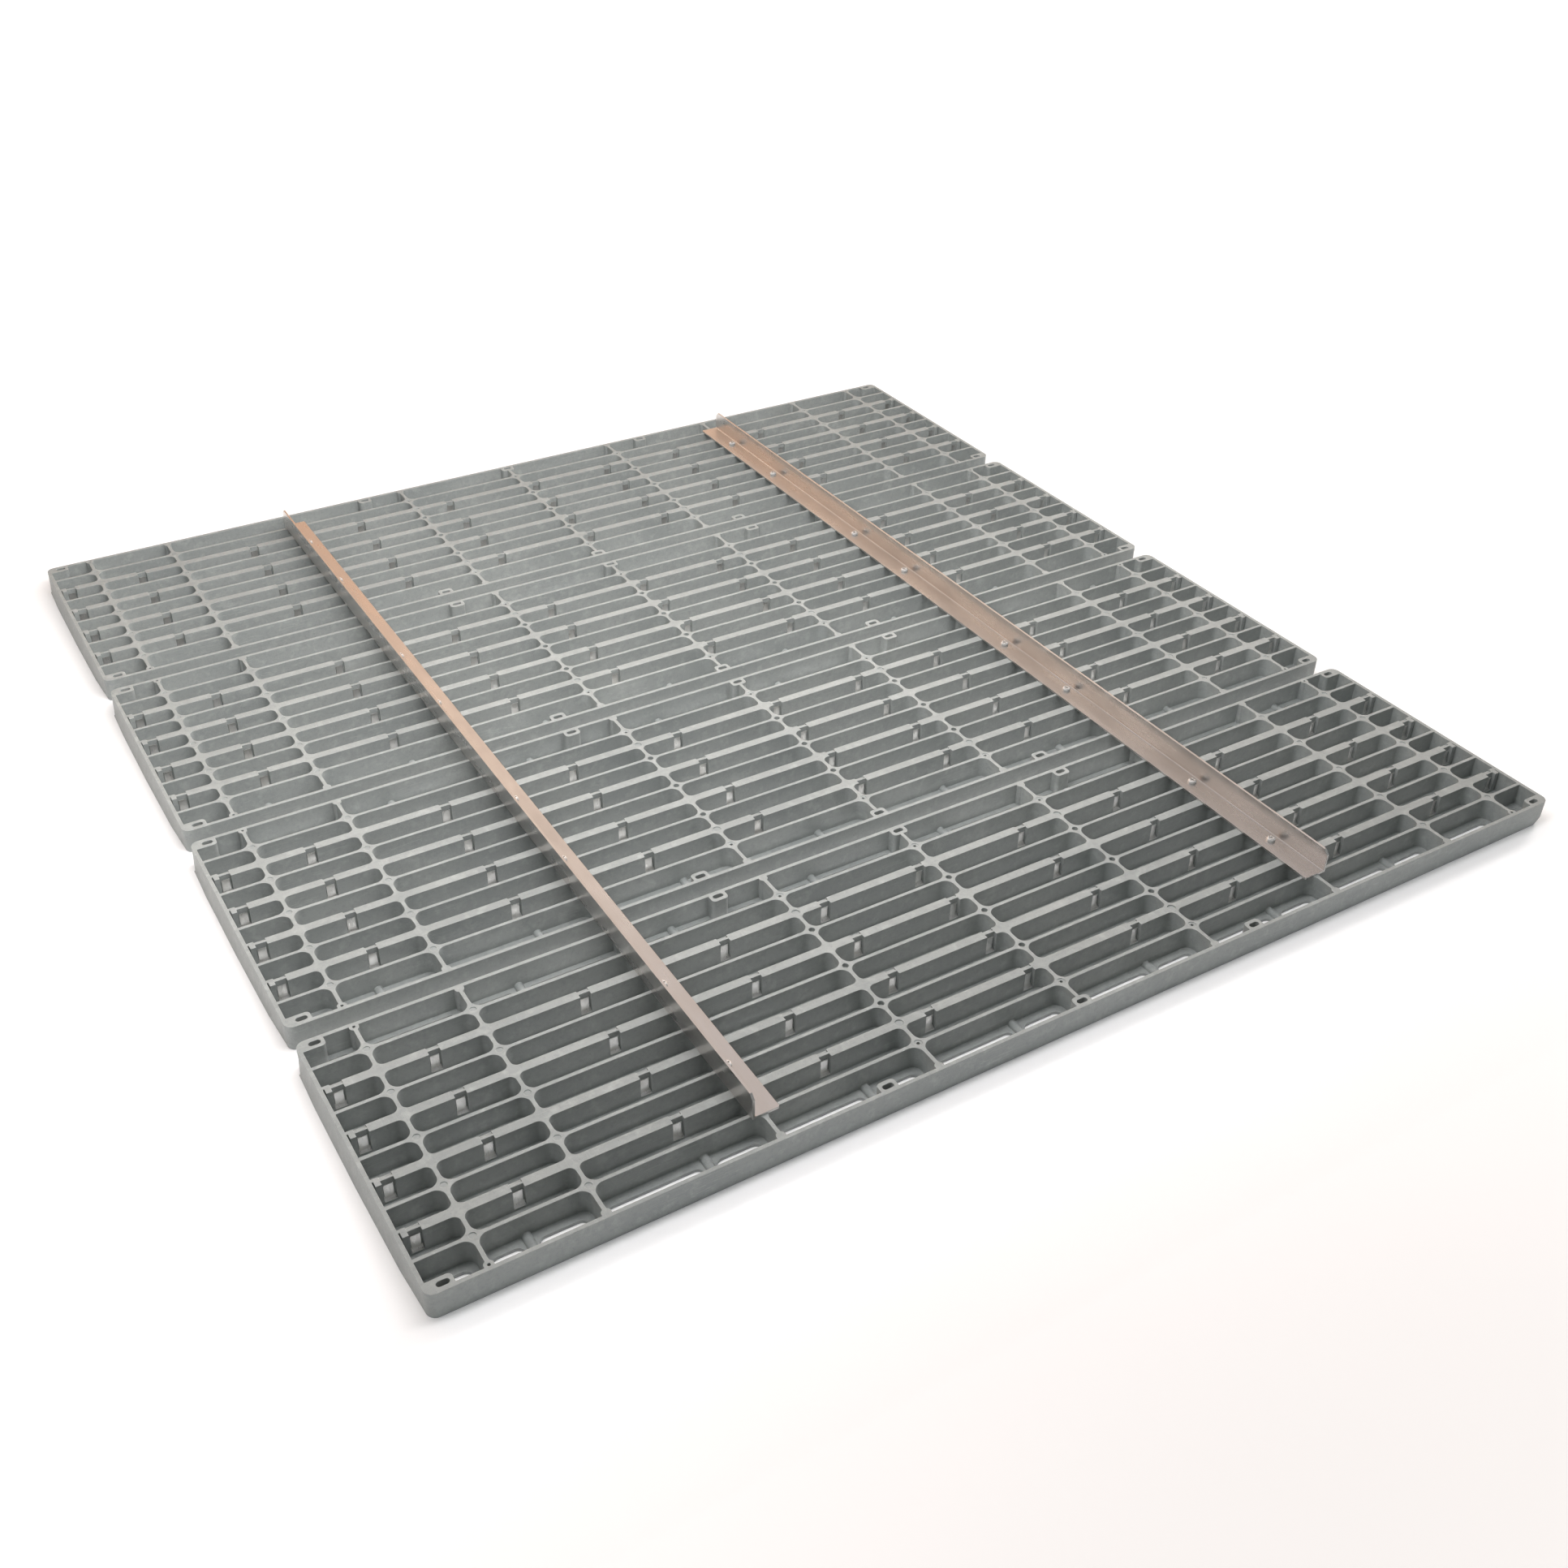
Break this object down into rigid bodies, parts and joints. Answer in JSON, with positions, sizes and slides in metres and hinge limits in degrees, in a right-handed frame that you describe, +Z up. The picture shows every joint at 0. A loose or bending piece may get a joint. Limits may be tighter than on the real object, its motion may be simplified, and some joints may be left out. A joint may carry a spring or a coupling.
{
  "type": "slatted grid panel array",
  "caption": "Long shallow ribbed grid panels laid side by side and tied by two aluminium angle rails, with slotted screw bosses and steel spring clips set in the wide ribs.",
  "frame": {"origin": "centre of the footprint of the whole row, on the plane it rests on", "axes": "+Z up, towards the open side of the cells and the rails; X along the panels; +Y across the panels, from panel_1 to panel_4"},
  "size_m": [1.006, 1.0308, 0.0426],
  "materials": {
    "grey_plastic": "matt light grey-green moulded plastic",
    "spring_steel": "bright rolled spring steel",
    "rail_aluminium": "mill finish extruded aluminium, lightly brushed along its length",
    "screw_steel": "zinc plated steel"
  },
  "bodies": {
    "root": {"panel_1": "grey_plastic", "panel_2": "grey_plastic", "panel_3": "grey_plastic", "panel_4": "grey_plastic", "clips_panel_1_rib_1": "spring_steel", "clips_panel_1_rib_2": "spring_steel", "clips_panel_1_rib_3": "spring_steel", "clips_panel_1_rib_4": "spring_steel", "clips_panel_2_rib_1": "spring_steel", "clips_panel_2_rib_2": "spring_steel", "clips_panel_2_rib_3": "spring_steel", "clips_panel_2_rib_4": "spring_steel", "clips_panel_3_rib_1": "spring_steel", "clips_panel_3_rib_2": "spring_steel", "clips_panel_3_rib_3": "spring_steel", "clips_panel_3_rib_4": "spring_steel", "clips_panel_4_rib_1": "spring_steel", "clips_panel_4_rib_2": "spring_steel", "clips_panel_4_rib_3": "spring_steel", "clips_panel_4_rib_4": "spring_steel", "rail_left": "rail_aluminium", "rail_right": "rail_aluminium", "rail_screws_left": "screw_steel", "rail_screws_right": "screw_steel"}
  },
  "joints": []
}
